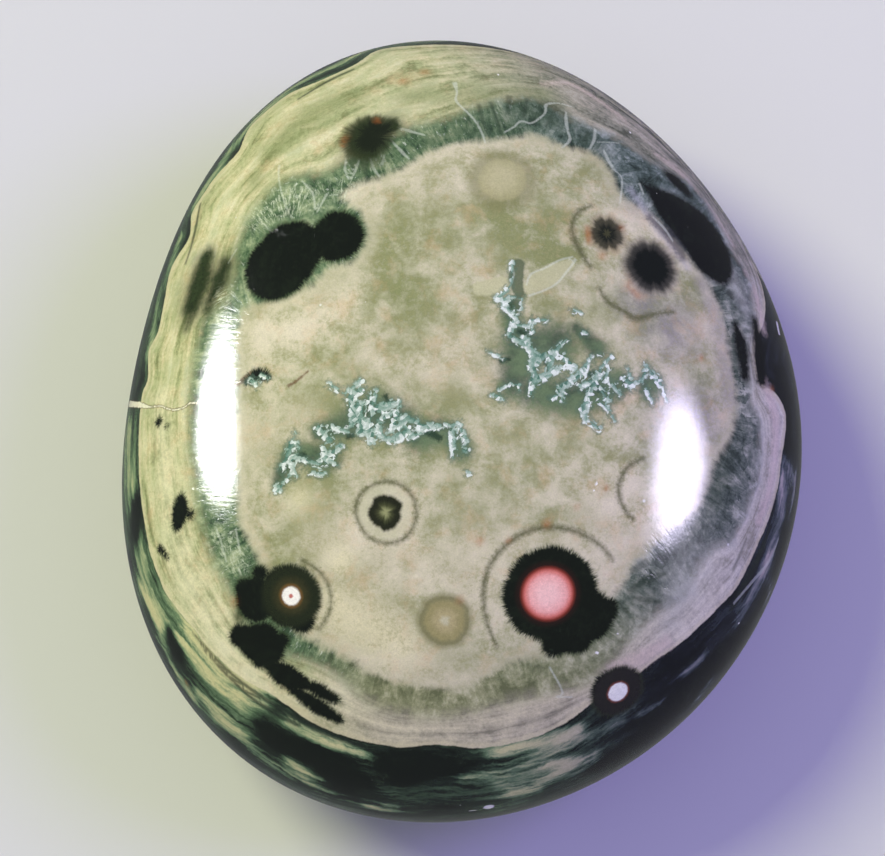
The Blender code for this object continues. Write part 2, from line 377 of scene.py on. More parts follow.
GREEN_HAZE = [
    [(279, 480, 9), (294, 455, 12), (330, 458, 14)],
    [(320, 432, 12), (345, 425, 16), (372, 412, 22), (400, 420, 20)],
    [(418, 436, 18), (445, 432, 14), (462, 450, 12)],
    [(508, 305, 9), (515, 330, 14), (520, 362, 26), (512, 385, 18)], [(530, 345, 22), (558, 342, 24)],
    [(530, 390, 20), (566, 396, 22), (596, 390, 24), (620, 384, 16)], [(648, 386, 16)],
    [(576, 328, 8), (596, 348, 13)],
]
MOAT_SHADE = [
    [(420, 146, 12), (450, 134, 14), (490, 126, 18), (530, 112, 16), (560, 122, 16)],
    [(584, 134, 14), (604, 156, 10)], [(732, 340, 8), (734, 400, 8)], [(722, 466, 16), (714, 498, 12)],
    [(645, 590, 22)], [(300, 292, 10)],
]
MOAT_MIST = [[(736, 285, 14), (745, 308, 10)], [(692, 560, 28), (670, 620, 14)], [(640, 560, 10)]]
OLIVE_BANDS = [
    [(270, 150, 16), (312, 116, 24), (350, 98, 20)], [(410, 96, 16), (470, 94, 14), (540, 96, 18)],
    [(255, 180, 14)],
]
PALE_BANDS = [
    [(676, 640, 12), (704, 618, 20), (722, 594, 14)],
    [(160, 400, 12), (165, 470, 16), (180, 560, 24), (215, 632, 28), (262, 690, 20)], [(340, 690, 18)],
]

# Each eye: its middle, how far its petals reach in and out or 0 for none, and its rings from the outside
# in, each with radius and softness in pixels, colour and strength.
EYES = [
    (PINK_EYE, 0, [
        (30, 4, "2A1915", 0.9), (25.5, 2.5, "8E3A2E", 1.0), (23, 2.5, "DB7A70", 1.0),
        (19.5, 4, "F7B4AF", 0.9), (13, 9, "FFD2CC", 0.8),
    ]),
    (PETAL_EYE, 6, [
        (25, 3, "CDCAAC", 0.6), (16, 2.5, "25281A", 1.0), (8, 4, "565A3A", 0.7), (4, 3.5, "9A9D70", 0.9),
    ]),
    (PETAL_ORB, 8, [
        (21, 4, "8C7C62", 0.5), (16, 3.5, "2C2D24", 0.9), (9, 4, "181D19", 0.9), (3, 2, "565539", 0.5),
    ]),
    (SOFT_ORB, 7, [(30, 5, "6F6863", 0.6), (25, 4, "2E2E2D", 0.9), (19, 5, "121617", 1.0)]),
    (TOP_ORB_LEFT, 12, [(22, 5, "3A3F26", 0.85), (15, 6, "1E2417", 0.9)]),
    (TOP_ORB_RIGHT, 12, [(24, 5, "2C3620", 0.85), (17, 7, "161D13", 0.9)]),
    (WHITE_DOT_LEFT, 0, [
        (29, 5, "262D1C", 0.8), (17, 6, "423F26", 0.7), (11.5, 2, "7A5A30", 0.8),
        (8.8, 1.5, "FFFBF4", 1.0), (2, 1, "C9766E", 1.0),
    ]),
    (WHITE_DOT_RIGHT, 0, [(26, 6, "302D2C", 0.7), (11.5, 1.5, "8A4A38", 0.7), (9.8, 1.2, "FFFFF2", 1.0)]),
    (WHITE_DOT_LOW, 0, [(5, 1, "EFEAF2", 1.0)]),
    (PALE_DISC_TOP, 4, [(34, 8, "7F7F55", 0.6), (22.5, 3, "B5AF86", 0.6), (15, 9, "C8C29C", 0.5)]),
    (PALE_DISC_LOW, 4, [
        (27, 3, "8C8A64", 0.6), (23.5, 2, "7E7B55", 0.8), (19, 3, "A1986A", 0.8),
        (11, 6, "B8AB82", 0.8), (4, 3, "C9C5A8", 0.8),
    ]),
]

# Cream islands and black blots of the underside: place in plan and radius, in mm.
UNDERSIDE_ISLANDS = [(-4.0, 5.0, 9.0), (6.0, -6.0, 7.0)]
UNDERSIDE_BLOTS = [(-9.0, 9.0, 2.6), (3.0, -3.0, 3.4), (12.0, 8.0, 2.2), (-12.0, -10.0, 2.8)]
ISLAND_MOAT = 2.6
ISLAND_BANDS = 5.0

# Widths in mm: of the bands, over which their layers are spread, of the bands' pale brim, and of the
# paler edge of the cream field. The pale hairs beside the blots reach this far out.
BANDS_WIDTH = 14.0
BRIM_WIDTH = 0.45
PALE_EDGE_WIDTH = 1.0
PALE_HAIR_LENGTH = 3.2

# Width in mm of what each texture of the stone is made of.
CLOUD_WIDTH = 7.6923
COTTON_WIDTH = 2.0
FIBRE_WIDTH = 0.5882
HAIR_WIDTH = 0.3125
FRINGE_HAIR_WIDTH = 0.125
THIN_LAYER = 0.4167
THICK_LAYER = 1.1111
THIN_BAND = 1.6667
BROAD_BAND = 3.125
FACET_WIDTH = 1.6667
CHIP_WIDTH = 0.3125
SPECK_SPACING = 3.5714

# Quartz grains and dust are finer than this. They are drawn as coarse as they need to be to show.
GRAIN_WIDTH = 0.3125
DUST_WIDTH = 0.125

# How much a texture that runs round the stone or round an eye changes on its way.
STREAK_TURN = 4.5
PETALS_ROUND = 1.6
RAYS_ROUND = 7.0

# How strongly quartz bends light, and how uneven its tumbled surface is.
QUARTZ_IOR = 1.54
RELIEF_DEPTH = 0.015 * MM

FLOOR_WIDTH = 0.9

# Soft lamps that light the scene: name, azimuth, height angle, width in metres, watts, colour.
FILL_DISTANCE = 1.25
FILLS = [
    ("fill_left", math.radians(146), math.radians(50), 0.55, 12.6, "FBFFC8"),
    ("fill_right", math.radians(14), math.radians(47), 0.6, 6.9, "A48CFF"),
]

# Lamps that show only as the two highlights: name, azimuth, height angle, width and height in metres, lean,
# watts, colour.
GLINT_DISTANCE = 0.6
GLINTS = [
    ("glint_left", math.radians(168), math.radians(25), 0.36, 0.2, math.radians(40), 12.0, "FFFFFF"),
    ("glint_right", math.radians(-2), math.radians(37.6), 0.39, 0.27, math.radians(5), 7.2, "E6DEFF"),
]

# How each kind of cloud tints the stone: name, chains, colour, strength.
BAND_CLOUDS = [
    ("olive_bands", OLIVE_BANDS, "7F8A5A", 0.8),
    ("pale_bands", PALE_BANDS, "F4EDD0", 0.65),
]
MOAT_CLOUDS = [
    ("moat_shade", MOAT_SHADE, "3B4B38", 0.55),
    ("moat_mist", MOAT_MIST, "BDBFB2", 0.7),
]
FIELD_CLOUDS = [
    ("olive_clouds", OLIVE_CLOUDS, "8A9063", 0.7),
    ("pale_clouds", PALE_CLOUDS, "DCD2B9", 0.75),
    # The mauve tint is partly painted violet light on the right side.
    ("mauve_clouds", MAUVE_AND_PAINTED_LIGHT_CLOUDS, "8E8698", 0.85),
    ("bright_clouds", BRIGHT_CLOUDS, "F6ECC6", 0.85),
]
BLOT_CLOUDS = [("smudges", SMUDGES, "2C3820", 1.3)]
STAIN_CLOUDS = [("rust_stains", RUST_STAINS, "B4662F", 0.7)]

# Clouds that steer another pattern: name, chains.
STEERING_CLOUDS = [
    ("green_haze", GREEN_HAZE), ("white_tufts", WHITE_TUFTS), ("green_flank", GREEN_FLANK),
    ("dark_flank", DARK_FLANK),
]

# How many parts each step of a drawn curve is cut in.
STEPS_PER_POINT = 4

# The markings need finer facets on the dome than on the underside.
DOME_FACETS = 0.65

# How far round a marking the stone is measured from it, and the depth that stands for no marking, in mm.
MARK_REACH = 4.0
NO_MARK = 9.0


def linear(hex_colour):
    """A colour written as sRGB hex, as the linear red, green, blue and alpha that nodes take."""
    channels = [int(hex_colour[at : at + 2], 16) / 255 for at in (0, 2, 4)]
    return (*(c / 12.92 if c <= 0.04045 else ((c + 0.055) / 1.055) ** 2.4 for c in channels), 1.0)


class StoneSettings(bpy.types.PropertyGroup):
    """Fineness of the stone's mesh, its polish and its brightest colours."""

    facets: bpy.props.IntProperty(
        name="Facets", description="Facets along one side of the cube that is blown up, an even number",
        default=128, min=8, max=200,
    )
    gloss_roughness: bpy.props.FloatProperty(
        name="Polish", description="Roughness left by the tumbling polish", default=0.09, min=0.0, max=1.0
    )
    crack_colour: bpy.props.FloatVectorProperty(
        name="Crack", description="Colour of the quartz that healed the crack", subtype="COLOR",
        default=linear("EFEAD8")[:3], min=0.0, max=1.0,
    )
    # This colour also paints the three glints on the right rim, which are painted lamp reflections.
    speck_and_painted_glint_colour: bpy.props.FloatVectorProperty(
        name="Specks", description="Colour of the white specks", subtype="COLOR",
        default=linear("F3F2EE")[:3], min=0.0, max=1.0,
    )


class StudioSettings(bpy.types.PropertyGroup):
    """Where the photograph was taken from, its floor and its room."""

    elevation: bpy.props.FloatProperty(
        name="Elevation", description="Camera's height angle over the stone", subtype="ANGLE",
        default=math.radians(80),
    )
    distance: bpy.props.FloatProperty(
        name="Distance", description="Camera to the stone's middle", subtype="DISTANCE", default=0.42
    )
    lens: bpy.props.FloatProperty(name="Lens", description="Focal length in mm", default=208.1)
    aim_left: bpy.props.FloatProperty(
        name="Aim left", description="How far left of the stone's middle the camera aims",
        subtype="DISTANCE", default=1.8 * MM,
    )
    aim_up: bpy.props.FloatProperty(
        name="Aim up", description="How far above the stone's middle the camera aims",
        subtype="DISTANCE", default=0.25 * MM,
    )
    floor_colour: bpy.props.FloatVectorProperty(
        name="Floor", description="Colour of the paper that the stone lies on", subtype="COLOR",
        default=linear("DADADA")[:3], min=0.0, max=1.0,
    )
    room_glow: bpy.props.FloatProperty(
        name="Room", description="Strength of the room's even light", default=0.42, min=0.0
    )
    mirrored_glow: bpy.props.FloatProperty(
        name="Mirrored room", description="Strength of the room as the polish mirrors it",
        default=0.2, min=0.0,
    )


class PhotoEye:
    """The camera of the photograph: the ray through each pixel, and the pixel of each place."""

    def __init__(self, middle, studio):
        tilt = studio.elevation
        self.ahead = Vector((0.0, math.cos(tilt), -math.sin(tilt)))
        self.up = Vector((0.0, math.sin(tilt), math.cos(tilt)))
        self.right = Vector((1.0, 0.0, 0.0))
        aim = middle - self.right * studio.aim_left + self.up * studio.aim_up
        self.place = aim - self.ahead * studio.distance
        self.focal = studio.lens / SENSOR_WIDTH * PHOTO_WIDTH

    def ray(self, pixel):
        across = (pixel[0] - PHOTO_WIDTH / 2) / self.focal
        down = (pixel[1] - PHOTO_HEIGHT / 2) / self.focal
        return (self.ahead + self.right * across - self.up * down).normalized()

    def pixels(self, places):
        """Pixel columns and rows of many places, given in metres."""
        offsets = places - np.array(self.place)
        depth = offsets @ np.array(self.ahead)
        columns = PHOTO_WIDTH / 2 + self.focal * (offsets @ np.array(self.right)) / depth
        rows = PHOTO_HEIGHT / 2 - self.focal * (offsets @ np.array(self.up)) / depth
        return np.column_stack((columns, rows))


class Pebble:
    """The pebble's rule, with its numbers measured on the CAD solid."""

    # At a fullness of 2 the section is an ellipse, and above that it is squarer.
    dome_fullness = 2.2
    underside_fullness = 2.3
    rest_flat_cut = 0.5 * MM
    spokes = 12

    def __init__(self, node):
        places = [vertex.co for vertex in node.data.vertices]
        pole = max(places, key=lambda place: place.z)
        widest = max(places, key=lambda place: place.x)
        self.middle = Vector((pole.x, pole.y, widest.z))
        self.dome = pole.z - widest.z
        self.underside = widest.z + self.rest_flat_cut
        radii = [self.measured_radius(node, index) for index in range(self.spokes)]
        self.waves = np.fft.rfft(radii) / self.spokes

    def measured_radius(self, node, index):
        azimuth = index * math.tau / self.spokes
        outwards = Vector((math.cos(azimuth), math.sin(azimuth), 0.0))
        hit, place, _, _ = node.ray_cast(self.middle, outwards)
        if not hit:
            raise RuntimeError(f"the CAD stone has no wall at spoke {index}")
        return (place - self.middle).length

    def outline_radius(self, azimuth):
        """Radius of the widest section, on the smooth closed curve through the measured spokes."""
        radius = np.full_like(azimuth, self.waves[0].real)
        for order in range(1, len(self.waves)):
            share = 1 if order == self.spokes // 2 else 2
            wave = self.waves[order]
            radius += share * (wave.real * np.cos(order * azimuth) - wave.imag * np.sin(order * azimuth))
        return radius

    def surface(self, directions):
        """Places of the surface in these directions from the middle, with the lowest part ground flat."""
        directions = directions / np.linalg.norm(directions, axis=1, keepdims=True)
        upper = directions[:, 2] >= 0
        fullness = np.where(upper, self.dome_fullness, self.underside_fullness)
        height = np.where(upper, self.dome, self.underside)
        across = np.hypot(directions[:, 0], directions[:, 1])
        reach = (across**fullness + np.abs(directions[:, 2]) ** fullness) ** (-1 / fullness)
        azimuth = np.arctan2(directions[:, 1], directions[:, 0])
        radius = self.outline_radius(azimuth) * across * reach
        rise = directions[:, 2] * reach * height
        places = np.column_stack((radius * np.cos(azimuth), radius * np.sin(azimuth), rise))
        places += np.array(self.middle)
        places[:, 2] = np.maximum(places[:, 2], 0.0)
        return places


def read_places(mesh, what="vertices"):
    """A mesh's vertices, or its normals, as rows."""
    values = np.empty(len(mesh.vertices) * 3)
    if what == "vertices":
        mesh.vertices.foreach_get("co", values)
    else:
        mesh.vertex_normals.foreach_get("vector", values)
    return values.reshape(-1, 3)


def shape_stone(settings, pebble):
    """The pebble, blown up from a finely cut cube."""
    bpy.ops.object.select_all(action="DESELECT")
    bpy.ops.mesh.primitive_cube_add(size=2.0, location=(0, 0, 0))
    stone = bpy.context.active_object
    stone.name = "jasper_pebble"
    bpy.ops.object.mode_set(mode="EDIT")
    bpy.ops.mesh.select_all(action="SELECT")
    # One subdivide makes at most 100 cuts, so the cube is cut in two rounds.
    bpy.ops.mesh.subdivide(number_cuts=settings.facets // 2 - 1)
    bpy.ops.mesh.subdivide(number_cuts=1)
    bpy.ops.object.mode_set(mode="OBJECT")
    cube = read_places(stone.data)
    evenly_spread = np.tan(cube * math.pi / 4)
    evenly_spread[:, 2] *= np.where(cube[:, 2] > 0, 1 / DOME_FACETS, DOME_FACETS)
    stone.data.vertices.foreach_set("co", pebble.surface(evenly_spread).ravel())
    stone.data.update()
    bpy.ops.object.mode_set(mode="EDIT")
    bpy.ops.mesh.select_all(action="SELECT")
    bpy.ops.mesh.normals_make_consistent(inside=False)
    bpy.ops.object.mode_set(mode="OBJECT")
    bpy.ops.object.shade_smooth()
    return stone


def smooth_curve(points, closed):
    """The points of a drawn line with a Catmull-Rom curve's points between them."""
    points = [np.array(point, dtype=float) for point in points]
    count = len(points)
    curve = []
    for index in range(count if closed else count - 1):
        if closed:
            before, start, end, after = (points[(index + step) % count] for step in (-1, 0, 1, 2))
        else:
            held = (min(max(index + step, 0), count - 1) for step in (-1, 0, 1, 2))
            before, start, end, after = (points[at] for at in held)
        for step in range(STEPS_PER_POINT):
            t = step / STEPS_PER_POINT
            curve.append(
                0.5 * (2 * start + (end - before) * t + (2 * before - 5 * start + 4 * end - after) * t**2
                       + (3 * start - before - 3 * end + after) * t**3)
            )
    curve.append(curve[0] if closed else points[-1])
    return curve


def nearest_on_path(places, path):
    """For each place, its distance from the path and the nearest point of the path."""
    gap = np.full(len(places), np.inf)
    foot = np.zeros_like(places)
    for start, end in zip(path, path[1:]):
        along = end - start
        share = np.clip((places - start) @ along / max(along @ along, 1e-12), 0.0, 1.0)
        candidate = start + share[:, None] * along
        distance = np.linalg.norm(places - candidate, axis=1)
        closer = distance < gap
        gap[closer] = distance[closer]
        foot[closer] = candidate[closer]
    return gap, foot


def inside_loop(pixels, loop):
    """True for the pixels that a closed loop goes round, by counting the crossings to their right."""
    columns, rows = pixels[:, 0], pixels[:, 1]
    inside = np.zeros(len(pixels), dtype=bool)
    for (x_start, y_start), (x_end, y_end) in zip(loop, loop[1:]):
        if y_start == y_end:
            continue
        level = (rows >= y_start) != (rows >= y_end)
        crossing = x_start + (rows - y_start) * (x_end - x_start) / (y_end - y_start)
        inside ^= level & (columns < crossing)
    return inside


class Marker:
    """Lays listed places of the photograph on the stone, and measures the stone from them, in mm."""

    def __init__(self, stone, eye):
        self.mesh = stone.data
        self.eye = eye
        places = read_places(self.mesh)
        self.places = places / MM
        self.pixels = eye.pixels(places)
        self.normals = read_places(self.mesh, "normals")
        self.seen = self.normals @ np.array(eye.ahead) < 0
        self.tree = BVHTree.FromPolygons(
            [vertex.co for vertex in self.mesh.vertices], [face.vertices for face in self.mesh.polygons]
        )

    def land(self, pixel):
        """Where a pixel's ray meets the stone. One that just misses takes the nearest place of the rim."""
        place, _, _, _ = self.tree.ray_cast(self.eye.place, self.eye.ray(pixel))
        if place is None:
            return self.places[np.argmin(np.linalg.norm(self.pixels - np.array(pixel[:2]), axis=1))]
        return np.array(place) / MM

    def land_below(self, column, row):
        """Where the straight line up from below meets the underside, for a place in plan in mm."""
        below = Vector((column * MM, row * MM, -1.0))
        upwards = Vector((0.0, 0.0, 1.0))
        place, _, _, _ = self.tree.ray_cast(below, upwards)
        return np.array(place) / MM

    def size(self, pixels):
        """Millimetres at the stone that this many pixels of the photograph span."""
        return pixels * self.eye.place.length / self.eye.focal / MM

    def zone(self, loop):
        """Depth inside a closed outline, negative outside, and the outline's nearest point."""
        curve = smooth_curve(loop, closed=True)
        path = [self.land(pixel) for pixel in curve]
        gap, foot = nearest_on_path(self.places, path)
        inside = inside_loop(self.pixels, curve) & self.seen
        return np.where(inside, gap, -gap), foot

    def discs(self, chain, straight):
        """A chain's discs on the stone, as middles and radii, with more between them where it is curved."""
        drawn = chain if straight or len(chain) < 3 else smooth_curve(chain, closed=False)
        return [self.land(disc[:2]) for disc in drawn], [self.size(disc[2]) for disc in drawn]

    def steps(self, middles, radii):
        """Between each two discs: the places near, and the line's foot, direction and radius there."""
        if len(middles) == 1:
            # A lone disc gets a twin just beside it.
            middles = [middles[0], middles[0] + np.array((0.01, 0.0, 0.0))]
            radii = radii * 2
        for start, end, first, last in zip(middles, middles[1:], radii, radii[1:]):
            along = end - start
            limit = np.linalg.norm(along) / 2 + max(first, last) + MARK_REACH
            near = np.nonzero(np.linalg.norm(self.places - (start + end) / 2, axis=1) < limit)[0]
            share = np.clip((self.places[near] - start) @ along / max(along @ along, 1e-9), 0.0, 1.0)
            yield near, start + share[:, None] * along, along, first + (last - first) * share

    def streaks(self, chains, straight=False):
        """Offset beside the nearest streak's middle line, its half-width and the depth inside it."""
        values = np.tile((0.0, 0.0, -NO_MARK), (len(self.places), 1))
        for chain in chains:
            for near, foot, along, width in self.steps(*self.discs(chain, straight)):
                offset = self.places[near] - foot
                sideways = np.cross(along, self.normals[near])
                sideways /= np.maximum(np.linalg.norm(sideways, axis=1, keepdims=True), 1e-9)
                found = np.column_stack(
                    ((offset * sideways).sum(axis=1), width, width - np.linalg.norm(offset, axis=1))
                )
                deeper = found[:, 2] > values[near, 2]
                values[near[deeper]] = found[deeper]
        return values

    def blots(self, drawn, below):
        """Depth inside a group of blots, and the point of the blot's edge that each place looks out to."""
        depth = np.full(len(self.places), -NO_MARK)
        edge = self.places.copy()
        groups = [self.discs(chain, straight=False) for chain in drawn]
        groups += [([self.land_below(x, y)], [radius]) for x, y, radius in below]
        for group in groups:
            for near, foot, _, width in self.steps(*group):
                offset = self.places[near] - foot
                distance = np.linalg.norm(offset, axis=1)
                deeper = width - distance > depth[near]
                depth[near[deeper]] = (width - distance)[deeper]
                edge[near[deeper]] = (foot + offset * (width / np.maximum(distance, 1e-6))[:, None])[deeper]
        return depth, edge

    def islands(self, drawn):
        """Depth inside round islands of the underside, negative outside."""
        depth = np.full(len(self.places), -np.inf)
        for column, row, radius in drawn:
            gap = np.linalg.norm(self.places - self.land_below(column, row), axis=1)
            depth = np.maximum(depth, radius - gap)
        return depth

    def clouds(self, chains):
        """Strength from 0 to 1 of soft clouds that thin out from their chains."""
        strength = np.zeros(len(self.places))
        for chain in chains:
            for near, foot, _, width in self.steps(*self.discs(chain, straight=False)):
                distance = np.linalg.norm(self.places[near] - foot, axis=1)
                strength[near] = np.maximum(strength[near], np.exp(-((distance / width) ** 2)))
        return strength

    def write(self, name, values):
        """Stores a value for each vertex, which the finish reads by this name."""
        vector = values.ndim == 2
        attribute = self.mesh.attributes.new(name, "FLOAT_VECTOR" if vector else "FLOAT", "POINT")
        attribute.data.foreach_set("vector" if vector else "value", values.ravel())


def mark_stone(marker):
    """Measures every marking's reach over the stone, for the finish to colour."""
    island = marker.islands(UNDERSIDE_ISLANDS)
    lobes, _ = marker.blots(BAND_LOBES, [])
    lobes = np.where(lobes > -MARK_REACH, lobes, -np.inf)
    cream, foot = marker.zone(PLATEAU_EDGE)
    moat, _ = marker.zone(MOAT_EDGE)
    bands, _ = marker.zone(BANDS_EDGE)
    marker.write("cream_depth", np.maximum(cream, island))
    marker.write("moat_depth", np.maximum(moat, island + ISLAND_MOAT))
    marker.write("bands_depth", np.maximum(np.maximum(bands, lobes), island + ISLAND_MOAT + ISLAND_BANDS))
    marker.write("cream_edge", foot)
    blot_depth, blot_edge = marker.blots(BLOTS, UNDERSIDE_BLOTS)
    marker.write("blot_depth", blot_depth)
    marker.write("blot_edge", blot_edge)
    marker.write("crystals", marker.streaks(CRYSTALS, straight=True))
    marker.write("crack", marker.streaks(CRACK))
    marker.write("pale_streaks", marker.streaks(PALE_STREAKS))
    marker.write("hollows", marker.streaks(HOLLOWS))
    # Three of the white specks are painted glints on the right rim.
    marker.write("white_specks_and_painted_glints", marker.streaks(WHITE_SPECKS_AND_PAINTED_GLINTS))
    for name, chains, _, _, _ in BAND_STREAKS + FIELD_STREAKS:
        marker.write(name, marker.streaks(chains))
    tints = BAND_CLOUDS + MOAT_CLOUDS + FIELD_CLOUDS + BLOT_CLOUDS + STAIN_CLOUDS
    for name, chains, *_ in tints + STEERING_CLOUDS:
        marker.write(name, marker.clouds(chains))


class Nodes:
    """A node tree, grown node by node."""

    def __init__(self, tree):
        self.tree = tree

    def add(self, kind, inputs=None, output=0, stops=None, **settings):
        """Adds a node with its settings and links, and returns one of its outputs."""
        node = self.tree.nodes.new("ShaderNode" + kind)
        for setting, value in settings.items():
            setattr(node, setting, value)
        if stops:
            ramp = node.color_ramp
            while len(ramp.elements) < len(stops):
                ramp.elements.new(1.0)
            for element, (position, colour) in zip(ramp.elements, stops):
                element.position = position
                element.color = linear(colour)
        for socket, source in (inputs or {}).items():
            if isinstance(source, bpy.types.NodeSocket):
                self.tree.links.new(source, node.inputs[socket])
            else:
                node.inputs[socket].default_value = source
        return node.outputs[output]


class Finish(Nodes):
    """One material."""

    def __init__(self, name):
        self.material = bpy.data.materials.new(name)
        self.material.use_nodes = True
        super().__init__(self.material.node_tree)
        self.shader = self.tree.nodes["Principled BSDF"]

    def cover(self, below, above, depth, soft, strength=1.0):
        """Lays above over below where depth is past zero, softened by soft mm on either side."""
        bounds = {0: depth, 1: -soft, 2: soft, 3: 0.0, 4: strength}
        share = self.add("MapRange", bounds, interpolation_type="SMOOTHSTEP")
        return self.add("Mix", {0: share, 6: below, 7: above}, output=2, data_type="RGBA")

    def wash(self, below, hex_colour, texture, none, full, strength):
        """Colours what is below where a texture goes from none to full."""
        share = self.add("MapRange", {0: texture, 1: none, 2: full, 3: 0.0, 4: strength})
        return self.add("Mix", {0: share, 6: below, 7: linear(hex_colour)}, output=2, data_type="RGBA")

    def sway(self, depth, texture, swing):
        """An edge moved to and fro by a texture, by swing mm in all."""
        moved = self.add("Math", {0: texture, 1: swing, 2: depth}, operation="MULTIPLY_ADD")
        return self.add("Math", {0: moved, 1: swing / 2}, operation="SUBTRACT")

    def mingle(self, first, second, share):
        """Two textures in one, the second with this share."""
        part = self.add("Math", {0: first, 1: 1 - share}, operation="MULTIPLY")
        return self.add("Math", {0: second, 1: share, 2: part}, operation="MULTIPLY_ADD")


class JasperFinish(Finish):
    """Ocean jasper, tumbled and polished.

    Chalky cream stone and clear quartz lie in one level surface. Under the wet gloss the chalk looks
    pale and cottony, and the quartz dark and deep, with hairs and layers in it.
    """

    def __init__(self, settings, marker):
        super().__init__("polished_ocean_jasper")
        self.settings = settings
        self.marker = marker
        place = self.add("TexCoord", output="Object")
        self.mm = self.add("VectorMath", {0: place, 3: 1 / MM}, operation="SCALE")
        self.cloud = self.add("TexNoise", {
            "Vector": self.mm, "Scale": 1 / CLOUD_WIDTH, "Detail": 5.0, "Roughness": 0.6,
        })
        self.cotton = self.add("TexNoise", {
            "Vector": self.mm, "Scale": 1 / COTTON_WIDTH, "Detail": 5.0, "Roughness": 0.66,
            "Distortion": 0.2,
        })
        self.blush = self.add("SeparateColor", {0: self.cotton.node.outputs["Color"]}, output=1)
        self.grain = self.add("TexNoise", {
            "Vector": self.mm, "Scale": 1 / GRAIN_WIDTH, "Detail": 4.0, "Roughness": 0.7,
        })
        self.find_sides()
        self.cream_depth = self.add("Attribute", output="Fac", attribute_name="cream_depth")
        self.moat_depth = self.add("Attribute", output="Fac", attribute_name="moat_depth")
        self.bands_depth = self.add("Attribute", output="Fac", attribute_name="bands_depth")
        self.around = self.direction_round_stone()
        self.fibre = self.fibres("cream_edge", FIBRE_WIDTH, lean=0.25)

    def find_sides(self):
        """How far a place is towards the stone's right side, its broad end and its back, from 0 to 1."""
        column = self.add("SeparateXYZ", {0: self.mm})
        row = self.add("SeparateXYZ", {0: self.mm}, output=1)
        slant = self.add("Math", {0: row, 1: 0.0}, operation="MAXIMUM")
        slant = self.add("Math", {0: slant, 1: 0.2, 2: column}, operation="MULTIPLY_ADD")
        self.to_right = self.add("MapRange", {0: slant, 1: 2.0, 2: 17.0}, interpolation_type="SMOOTHSTEP")
        low = self.add("MapRange", {0: row, 1: -14.0, 2: -24.0}, interpolation_type="SMOOTHSTEP")
        inland = self.add("MapRange", {0: column, 1: -14.0, 2: -6.0}, interpolation_type="SMOOTHSTEP")
        self.to_bottom = self.add("Math", {0: low, 1: inland}, operation="MULTIPLY")
        self.to_back = self.add("MapRange", {0: row, 1: 4.0, 2: 20.0}, interpolation_type="SMOOTHSTEP")

    def direction_round_stone(self):
        """A place's direction from the stone's middle in plan, for patterns that run round the rim."""
        flat = self.add("VectorMath", {0: self.mm, 1: (1.0, 1.0, 0.0)}, operation="MULTIPLY")
        outwards = self.add("VectorMath", {0: flat}, operation="NORMALIZE")
        return self.add("VectorMath", {0: outwards, 3: STREAK_TURN}, operation="SCALE")

    def fibres(self, edge_name, width, lean):
        """Hairs that stand out from an edge: this many mm wide along it and long across it."""
        edge = self.add("Attribute", output="Vector", attribute_name=edge_name)
        drift = self.add("VectorMath", {0: self.mm, 3: lean}, operation="SCALE")
        flow = self.add("VectorMath", {0: edge, 1: drift}, operation="ADD")
        return self.add("TexNoise", {
            "Vector": flow, "Scale": 1 / width, "Detail": 4.0, "Roughness": 0.65, "Distortion": 0.4,
        })

    def layers(self, level, width, detail):
        """Streaks that run round the stone: this many mm wide across their level and long beside it."""
        lifted = self.add("CombineXYZ", {2: self.sway(level, self.cotton, 1.2)})
        flow = self.add("VectorMath", {0: self.around, 1: lifted}, operation="ADD")
        return self.add("TexNoise", {
            "Vector": flow, "Scale": 1 / width, "Detail": detail, "Roughness": 0.62,
        })

    def streak_depth(self, name, end=0.12):
        """Depth inside a streak, exact beside its middle line and cut off a little past its ends."""
        line = self.add("Attribute", output="Vector", attribute_name=name)
        side = self.add("Math", {0: self.add("SeparateXYZ", {0: line})}, operation="ABSOLUTE")
        width = self.add("SeparateXYZ", {0: line}, output=1)
        depth = self.add("SeparateXYZ", {0: line}, output=2)
        across = self.add("Math", {0: width, 1: side}, operation="SUBTRACT")
        ends = self.add("Math", {0: depth, 1: end}, operation="ADD")
        return self.add("Math", {0: across, 1: ends}, operation="MINIMUM")

    def lay_streaks(self, colour, kinds):
        """Lays kinds of listed streaks over the stone, with grainy edges."""
        for name, _, hex_colour, soft, strength in kinds:
            depth = self.sway(self.streak_depth(name), self.grain, soft * 2.2)
            colour = self.cover(colour, linear(hex_colour), depth, soft, strength)
        return colour

    def lay_clouds(self, colour, kinds):
        """Tints the stone where kinds of listed clouds lie, in shreds."""
        for name, _, hex_colour, strength in kinds:
            cloud = self.add("Attribute", output="Fac", attribute_name=name)
            shreds = self.add("MapRange", {0: self.cotton, 1: 0.3, 2: 0.7, 3: strength * 0.3, 4: strength})
            share = self.add("Math", {0: cloud, 1: shreds}, operation="MULTIPLY", use_clamp=True)
            tinted = {0: share, 6: colour, 7: linear(hex_colour)}
            colour = self.add("Mix", tinted, output=2, data_type="RGBA")
        return colour

    def side_by_side(self, left, right, bottom):
        """One colour on the stone's left, one on its right and one at its broad end."""
        sides = self.add("Mix", {0: self.to_right, 6: left, 7: right}, output=2, data_type="RGBA")
        return self.add("Mix", {0: self.to_bottom, 6: sides, 7: bottom}, output=2, data_type="RGBA")

